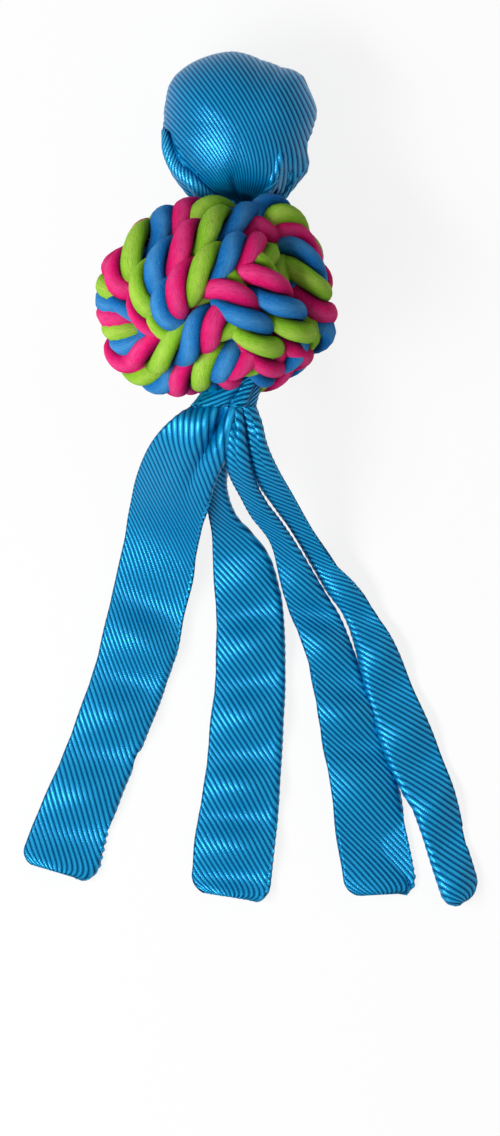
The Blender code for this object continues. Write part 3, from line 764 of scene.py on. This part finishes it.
def head_surface(web):
    """A web over the head: v runs from the neck over the crown and back to the neck, m across it."""
    crown, up = np.array((0.0, 1.0, 0.0)), np.array((0.0, 0.0, 1.0))
    level = np.cross(crown, up)
    facing, aside = (up, level) if web["name"] == "front_web" else (level, -up)
    length = web["length"]
    left_at, left_deg = (np.array(row, dtype=float) for row in zip(*web["left_deg"]))
    right_at, right_deg = (np.array(row, dtype=float) for row in zip(*web["right_deg"]))

    def surface(m, v):
        along_deg = (v / length - 0.5) * 2 * web_reach_deg
        along, q = np.radians(along_deg), m / web_width
        left = np.interp(along_deg, left_at, left_deg)
        right = np.interp(along_deg, right_at, right_deg)
        lean = np.radians(left + (right - left) * q)
        way = turned(lean, turned(along, crown, facing), aside)
        reach = head_radius_at(np.arctan2(way[..., 1], way[..., 0])) + web["lift"] - head_skin
        high = (head_height + web["lift"]) * narrowing(-way[..., 1])
        spot = np.stack([reach, reach, high], axis=-1) * way
        page = (spot[..., :2] + head_centre[:2]) * 1000
        pleats = web["pleat_height"] * np.cos(2 * math.pi * pleats_a_web * q + web["pleat_phase"])
        spot = spot + way * (growing(np.abs(along_deg), *pleats_from_deg) * pleats)[..., None]
        lift = np.zeros_like(q)
        for line, deep, spread in web["folds"]:
            lift = lift + deep / 1000 * np.exp(-((line_distance(page, line) / spread) ** 2))
        return spot + (growing(way[..., 2], *folds_from) * lift)[..., None] * up + head_centre

    return surface


def roll_surface(entry):
    """A rolled edge that lies on the head: v runs along it, m once round it."""
    line, _ = curve_through(mm(entry["line"]), tail_stations)
    width, length = entry["flat"]

    def on_head(share):
        place = read_smoothly(line, share)
        off = place - head_centre[:2]
        reach = head_radius_at(np.arctan2(off[..., 1], off[..., 0]))
        way = off / reach[..., None]
        out = np.minimum(lengths(way), roll_rim_share)
        high = head_height * narrowing(-way[..., 1])
        z = high * np.sqrt(1 - out**2)
        normal = unit(np.concatenate([off / reach[..., None] ** 2, (z / high**2)[..., None]], axis=-1))
        return np.concatenate([place, (head_centre[2] + z)[..., None]], axis=-1), normal

    def surface(m, v):
        share = v / length
        spot, normal = on_head(share)
        after, before = np.minimum(share + roll_look, 1.0), np.maximum(share - roll_look, 0.0)
        ahead = unit(on_head(after)[0] - on_head(before)[0])
        normal = square_to(ahead, normal)
        side = np.cross(ahead, normal)
        radius = read_smoothly(mm(entry["radii"]), share)
        radius = radius * (roll_inner_share + roll_growth * m / width)
        turn = 2 * math.pi * (entry["turns"] * m / width + entry["twist"] * share)
        return spot + normal * roll_proud + turned(turn, normal, side) * radius[..., None]

    return surface


def head_pattern(m, v, spots):
    """Across and along the ribs over the head, which run together at the neck as the photograph shows."""
    page = spots[..., :2] * 1000
    fall = math.radians(rib_fall_deg)
    start = np.array((math.cos(fall), -math.sin(fall)))
    travelled = np.zeros(page.shape[:-1])
    for _ in range(rib_steps):
        away = rib_meeting - page
        share = 1 / (1 + (lengths(away) / rib_meeting_reach) ** rib_meeting_power)
        wanted = np.degrees(np.arctan2(-away[..., 1], away[..., 0]))
        wanted = np.where(wanted < -90, wanted + 360, wanted)
        fall = np.radians(rib_fall_deg + (wanted - rib_fall_deg) * share)
        way = np.stack([np.cos(fall), -np.sin(fall)], axis=-1)
        left = (page - head_centre[:2] * 1000) @ start + rib_start_mm
        step = np.clip(left / np.maximum(way @ start, rib_least_way), 0.0, rib_step_mm)
        page = page - way * step[..., None]
        travelled = travelled + step
    across = page @ np.array((-start[1], start[0])) * rib_spread
    return across / 1000, travelled / 1000


def line_distance(page, line):
    """The distance on the page from each point to a line through a few points, in mm."""
    nearest = np.full(page.shape[:-1], 1e3)
    for start, end in zip(np.array(line[:-1]), np.array(line[1:])):
        run = end - start
        share = np.clip(((page - start) @ run) / (run @ run), 0.0, 1.0)
        nearest = np.minimum(nearest, lengths(page - start - run * share[..., None]))
    return nearest


# Materials


class Nodes:
    """Short ways to add and join the shader nodes of a material or a world."""

    def __init__(self, owner):
        owner.use_nodes = True
        self.owner, self.tree = owner, owner.node_tree

    def put(self, socket, value):
        """Links another node's output to a socket, or sets the socket's own value."""
        if isinstance(value, bpy.types.NodeSocket):
            self.tree.links.new(value, socket)
        else:
            socket.default_value = value

    def add(self, kind, inputs=None, **settings):
        node = self.tree.nodes.new(kind)
        for key, value in settings.items():
            setattr(node, key, value)
        for key, value in (inputs or {}).items():
            self.put(node.inputs[key], value)
        return node

    def math(self, operation, a, b=0.0, clamp=False):
        return self.add("ShaderNodeMath", {0: a, 1: b}, operation=operation, use_clamp=clamp).outputs[0]

    def ramp(self, value, stops):
        node = self.add("ShaderNodeValToRGB", {0: value})
        while len(node.color_ramp.elements) < len(stops):
            node.color_ramp.elements.new(0.5)
        for element, (place, colour) in zip(node.color_ramp.elements, stops):
            element.position, element.color = place, colour
        return node.outputs[0]

    def mix(self, share, a, b, blend="MIX"):
        node = self.add("ShaderNodeMix", {0: share, 6: a, 7: b}, data_type="RGBA", blend_type=blend)
        return node.outputs[2]

    def laid_over(self, colour, other, above, level, gain):
        """A colour with another laid over it, by how far one value is above another."""
        share = self.math("MULTIPLY", self.math("SUBTRACT", above, level, True), gain, True)
        return self.mix(share, colour, other)

    def noise(self, vector, scale, detail=2.0, roughness=0.5):
        inputs = {"Vector": vector, "Scale": scale, "Detail": detail, "Roughness": roughness}
        return self.add("ShaderNodeTexNoise", inputs).outputs[0]

    def bump(self, height, strength, distance, under=None):
        inputs = {"Height": height, "Strength": strength, "Distance": distance}
        return self.add("ShaderNodeBump", inputs | ({"Normal": under} if under else {})).outputs[0]

    def shaded(self, inputs):
        """The material, with these inputs of its shader."""
        for key, value in inputs.items():
            self.put(self.tree.nodes["Principled BSDF"].inputs[key], value)
        return self.owner


def rope_material(name, base, light, deep):
    """Soft cotton strand: fibres along it, pale flecks, a painted highlight that makes the crown paler, and
    painted shade that makes the creases deeper in tone.
    """
    base, light, deep = linear(base), linear(light), linear(deep)
    n = Nodes(bpy.data.materials.new(name))
    place = n.add("ShaderNodeTexCoord").outputs
    drawn_out = {"Vector": place["UV"], "Scale": (7.0, 2.4, 1.0), "Rotation": (0.0, 0.0, math.radians(24.0))}
    fibres = n.noise(n.add("ShaderNodeMapping", drawn_out).outputs[0], 5.0, 4.0, 0.65)
    flecks = n.noise(place["Object"], 1500.0, 3.0, 0.65)
    patches = n.noise(place["Object"], 140.0)
    side = n.add("ShaderNodeSeparateXYZ", {0: place["UV"]}).outputs[0]
    # Painted highlight: towards the strand's outer crown, where the lamps light it, the colour turns to the
    # pale tone, wobbled at random by the patches.
    crown = n.math("ADD", side, n.math("MULTIPLY", n.math("SUBTRACT", patches, 0.5), 0.25))
    colour = n.ramp(crown, ((0.45, base), (0.7, base), (1.0, light)))
    colour = n.laid_over(colour, light, flecks, 0.52, 3.2)
    colour = n.laid_over(colour, deep, 0.5, fibres, 3.0)
    # Painted shade: the strand's sides, where it meets its neighbours, are darkened by a grey multiply.
    painted_crease_shade = n.ramp(side, ((0.42, (0.28, 0.28, 0.32, 1.0)), (0.7, (1.0, 1.0, 1.0, 1.0))))
    return n.shaded({
        "Base Color": n.mix(1.0, colour, painted_crease_shade, "MULTIPLY"),
        "Roughness": 0.8,
        "Normal": n.bump(flecks, 0.5, 0.0005, n.bump(fibres, 0.7, 0.0011)),
        "Sheen Weight": 0.12,
        "Sheen Roughness": 0.5,
        "Sheen Tint": light,
        "Specular IOR Level": 0.2,
        "Specular Tint": light,
    })


def plain_material(name, base, roughness, scale):
    """Rubber, plastic or thread that hardly shows: a faint mottle and a fine grain."""
    n = Nodes(bpy.data.materials.new(name))
    grain = n.noise(n.add("ShaderNodeTexCoord").outputs["Object"], scale, 3.0)
    low = tuple(0.82 * v for v in base)
    return n.shaded({
        "Base Color": n.mix(grain, linear(low), linear(base)),
        "Roughness": roughness,
        "Normal": n.bump(grain, 0.2, 0.0003),
    })


def sleeve_material(name, base, light, deep, pitch):
    """Satin sleeve: threads across each rib, painted shade that gives the grooves a deeper tone, and a
    painted highlight that makes the crests and the threads on them paler.
    """
    base, light, deep = linear(base), linear(light), linear(deep)
    n = Nodes(bpy.data.materials.new(name))
    place = n.add("ShaderNodeTexCoord").outputs
    across, along, _ = n.add("ShaderNodeSeparateXYZ", {0: place["UV"]}).outputs
    crest = n.math("COSINE", n.math("MULTIPLY", across, 2 * math.pi * uv_unit / pitch))
    crest = n.math("ADD", n.math("MULTIPLY", crest, 0.5), 0.5)
    jitter = n.math("MULTIPLY", n.noise(place["Object"], 900.0), 5.0)
    threads = n.math("ADD", n.math("MULTIPLY", along, 2 * math.pi * uv_unit / thread_pitch), jitter)
    threads = n.math("ADD", n.math("MULTIPLY", n.math("SINE", threads), 0.5), 0.5)
    grain = n.noise(place["Object"], 3000.0, 2.0, 0.6)
    # Painted shade and highlight: by the rib's phase the grooves take the deep tone and the crests the pale
    # one.
    colour = n.ramp(crest, ((0.0, deep), (0.34, base), (0.75, base), (1.0, light)))
    # Painted highlight: the threads are paled toward the pale tone only on the crests, as glints.
    colour = n.mix(n.math("MULTIPLY", n.math("MULTIPLY", threads, crest), 0.45), colour, light)
    colour = n.laid_over(colour, light, grain, 0.5, 1.2)
    return n.shaded({
        "Base Color": n.laid_over(colour, deep, 0.5, grain, 1.2),
        "Roughness": 0.3,
        "Normal": n.bump(grain, 0.3, 0.0002, n.bump(threads, 0.2, 0.0002)),
        "Specular IOR Level": n.math("MULTIPLY", crest, 1.1),
        "Specular Tint": linear((158, 222, 255)),
        "Metallic": n.math("ADD", n.math("MULTIPLY", crest, 0.3), 0.1),
    })


# Each strand's colours: base, a pale tone for the flecks and for the painted highlight on the crown, and a
# deep tone for the fibres.
strands = rope_strands((
    rope_material("pink_strand", (232, 24, 112), (244, 70, 142), (178, 8, 80)),
    rope_material("blue_strand", (24, 116, 194), (74, 152, 216), (4, 78, 150)),
    rope_material("green_strand", (140, 200, 48), (176, 216, 84), (88, 152, 38)),
))
for strand in strands:
    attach(strand, "rope_ball")
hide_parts("rope_winding")

# Copies of one fabric: base, a pale tone for the painted crest highlight, glints and grain, a deep tone for
# the painted groove shade and grain, and the rib pitch. The over-head copy is a touch darker; the rolled copy
# is lighter all over, a painted highlight for the shine on the rolled edges.
fabric, head_fabric, rolled_lit_fabric = (sleeve_material("ribbed_sleeve" + name, *look) for name, *look in (
    ("", (0, 116, 170), (0, 160, 214), (0, 62, 110), rib_pitch),
    ("_over_head", (0, 108, 162), (0, 150, 204), (0, 60, 110), head_rib_pitch),
    ("_rolled", (0, 124, 178), (60, 178, 226), (0, 74, 126), rolled_rib_pitch),
))

for number, entry in enumerate(tail_table, start=1):
    node = f"tail_{number}"
    surface, length = tail_surface(entry)
    tail = ribbed_sheet("strap_" + node, surface, (strap_width, length), fabric)
    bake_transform(tail)
    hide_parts(node)

# The neck wraps: ends of their middle line, half sizes, pleat depth and folds in mm. A fold has its
# start, end, height and spread.
wraps = (
    {
        "name": "lower_neck_wrap",
        "body": "lower_neck",
        "nodes": ("lower_neck_band", "lower_neck_gather"),
        "from": (-9.9, 28.6, 54.0),
        "to": (-4.0, 41.5, 49.0),
        "half_widths": (11.2, 8.6),
        "half_heights": (8.2, 7.4),
        "turns": 1.12,
        "flat": (0.0145, 0.068),
        "pleats": 5,
        "pleat_depth": 0.3,
        "folds": (
            ((-16.5, 29.5), (-3.0, 39.0), 2.2, 2.2),
            ((-4.0, 29.5), (-0.5, 39.0), 1.8, 1.6),
            ((-7.0, 29.5), (-1.8, 39.0), -2.0, 1.5),
        ),
    },
    {
        "name": "upper_neck_wrap",
        "body": "upper_neck",
        "nodes": ("upper_neck_gather",),
        "from": (-8.0, 108.5, 30.0),
        "to": (-10.5, 98.0, 31.5),
        "half_widths": (9.5, 8.0),
        "half_heights": (7.0, 6.5),
        "turns": 1.1,
        "flat": (0.0115, 0.056),
        "pleats": 9,
        "pleat_depth": 0.6,
        "folds": (),
    },
)
for wrap in wraps:
    piece = ribbed_sheet(
        wrap["name"], wrap_surface(wrap), wrap["flat"], fabric,
        thickness=0.0011, pitch=wrap_rib_pitch, rib=0.0003, columns=26,
    )
    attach(piece, wrap["body"])
    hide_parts(*wrap["nodes"])

# The head's webs: where their edges lie, as degrees along the web and to the side, and folds as lines
# in mm with a height and a spread
front_left_edge = (
    (-172, -6), (-150, -34), (-130, -62), (-100, -79), (84, -79), (92, -66), (100, -55), (124, -46),
    (131, -36), (147, -17), (172, -2),
)
front_right_edge = (
    (-172, 6), (-150, 34), (-130, 62), (-100, 77), (100, 77), (125, 66), (140, 54), (150, 38), (160, 22),
    (172, 8),
)
side_edge = ((-172, 12), (-150, 30), (-130, 50), (-100, 60), (100, 60), (130, 50), (150, 30), (172, 12))
webs = (
    {
        "name": "front_web",
        "pattern": head_pattern,
        "node": "head_web_front",
        "length": 0.174,
        "left_deg": front_left_edge,
        "right_deg": front_right_edge,
        "lift": 0.0016,
        "pleat_height": 0.0003,
        "pleat_phase": 0.0,
        "folds": (
            (((-26.4, 125.9), (-23.7, 119.7), (-18.0, 113.6), (-11.1, 107.9)), -3.0, 2.4),
            (((11.9, 123.6), (11.1, 119.7), (8.0, 112.5), (2.3, 107.5), (-1.1, 104.8)), 1.8, 1.3),
            (((14.6, 118.2), (11.9, 112.1), (5.7, 106.7)), -3.2, 2.0),
            (((-6.5, 115.9), (-4.2, 106.3)), -2.0, 1.3),
        ),
    },
    {
        "name": "side_web",
        "pattern": strap_pattern,
        "node": "head_web_side",
        "length": 0.170,
        "left_deg": tuple((along, -aside) for along, aside in side_edge),
        "right_deg": side_edge,
        "lift": 0.0,
        "pleat_height": 0.0010,
        "pleat_phase": 0.5,
        "folds": (),
    },
)
for web in webs:
    flat = (web_width, web["length"])
    piece = ribbed_sheet(
        "head_" + web["name"], head_surface(web), flat, head_fabric,
        thickness=0.0012, pitch=head_rib_pitch, rib=0.0002, columns=130, pattern=web["pattern"],
    )
    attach(piece, "head")
    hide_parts(web["node"])

# The rolled edges at the bottom of the head, lines and radii in mm
rolls = (
    {
        "name": "head_left_roll",
        "line": (
            (-32.3, 134.5), (-31.5, 130.8), (-30.4, 126.0), (-27.6, 120.2), (-22.4, 115.6), (-16.7, 110.6),
            (-10.3, 106.1), (-7.0, 103.8),
        ),
        "radii": (0.7, 1.9, 2.3, 2.5, 2.5, 2.3, 1.9),
        "flat": (0.0145, 0.0415),
        "turns": 1.06,
        "twist": 0.6,
    },
    {
        "name": "head_right_roll",
        "line": ((10.6, 128.0), (11.2, 122.4), (9.4, 116.2), (4.8, 110.2), (-0.8, 106.4), (-4.4, 104.6)),
        "radii": (0.4, 1.0, 1.3, 1.5, 1.5, 1.3),
        "flat": (0.0120, 0.0310),
        "turns": 1.15,
        "twist": -0.5,
    },
)
for roll in rolls:
    piece = ribbed_sheet(
        roll["name"], roll_surface(roll), roll["flat"], rolled_lit_fabric,
        thickness=0.0008, pitch=rolled_rib_pitch, rib=0.00018, columns=26,
    )
    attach(piece, "head")

# The CAD pieces inside keep their shapes
for node, made_of in (
    ("core_ball", plain_material("core_rubber", (140, 142, 136), 0.7, 900.0)),
    ("core_web_side", fabric),
    ("core_web_front", fabric),
    ("upper_neck_run", fabric),
    ("lower_neck_run", fabric),
    ("upper_neck_tie", plain_material("waxed_cord", (0, 78, 122), 0.6, 2600.0)),
    ("head_ball", plain_material("ball_rubber", (150, 152, 146), 0.65, 900.0)),
    ("squeaker_barrel", plain_material("squeaker_body", (232, 232, 226), 0.45, 500.0)),
    ("squeaker_reed", plain_material("squeaker_disc", (226, 226, 220), 0.45, 500.0)),
):
    for place in bpy.data.objects[node].material_slots:
        place.material = made_of

# The stage: a pale floor, soft lamps and the camera


def background_rays(n):
    """1 for the rays that see the white background."""
    rays = n.add("ShaderNodeLightPath").outputs
    seen = n.math("MAXIMUM", rays["Is Camera Ray"], rays["Is Transmission Ray"])
    return n.math("MAXIMUM", seen, rays["Is Glossy Ray"])


def stage_floor(half_width=3.0, drop=0.0002, glow=0.86):
    """A floor just below the toy, which glows white by a share for the rays that see it."""
    corners = ((-1, -1), (1, -1), (1, 1), (-1, 1))
    mesh = bpy.data.meshes.new("floor")
    mesh.from_pydata([(x * half_width, y * half_width, 0.0) for x, y in corners], [], [(0, 1, 2, 3)])
    floor = put_in_scene("floor", mesh)
    floor.location.z = -drop
    n = Nodes(bpy.data.materials.new("pale_floor"))
    n.shaded({"Base Color": (0.88, 0.88, 0.88, 1.0), "Roughness": 0.9, "Specular IOR Level": 0.0})
    matte = n.tree.nodes["Principled BSDF"].outputs[0]
    white = n.add("ShaderNodeEmission", {"Color": (1.0, 1.0, 1.0, 1.0), "Strength": 1.0}).outputs[0]
    share = n.math("MULTIPLY", background_rays(n), glow)
    shown = n.add("ShaderNodeMixShader", {0: share, 1: matte, 2: white})
    n.put(n.tree.nodes["Material Output"].inputs["Surface"], shown.outputs[0])
    mesh.materials.append(n.owner)


def lamp(name, spot, sizes, along, power):
    """A soft box aimed at the floor's middle, its longer side running along a direction on the page."""
    light = bpy.data.lights.new(name, "AREA")
    light.shape = "ELLIPSE"
    light.size, light.size_y = sizes
    light.energy = power
    back = Vector(spot).normalized()
    long_side = Vector((*along, 0.0))
    long_side = (long_side - back * long_side.dot(back)).normalized()
    axes = Matrix((long_side, back.cross(long_side), back)).transposed()
    made = put_in_scene(name, light)
    made.location = spot
    made.rotation_mode = "QUATERNION"
    made.rotation_quaternion = axes.to_quaternion()


def world_light(strength):
    """White for the rays that see the background, and a soft light for all others."""
    world = bpy.data.worlds.new("studio")
    bpy.context.scene.world = world
    n = Nodes(world)
    level = n.add("ShaderNodeMapRange", {"Value": background_rays(n), "To Min": strength, "To Max": 1.0})
    back = n.tree.nodes["Background"]
    n.put(back.inputs["Strength"], level.outputs[0])
    n.put(back.inputs["Color"], (1.0, 1.0, 1.0, 1.0))


stage_floor()
lamp("key", spot=(-1.0, -0.32, 1.3), sizes=(1.5, 0.4), along=(0.68, -0.73), power=30.0)
lamp("fill", spot=(0.9, 0.7, 1.3), sizes=(1.2, 1.2), along=(1.0, 0.0), power=2.0)
world_light(0.22)

camera = bpy.data.cameras.new("camera")
camera.sensor_width = sensor
camera.lens = sensor * camera_height / view_height_m
camera.clip_end = 20.0
eye = put_in_scene("camera", camera)
eye.location = (*view_middle, camera_height)
bpy.context.scene.camera = eye
bpy.context.scene.view_settings.view_transform = "Standard"
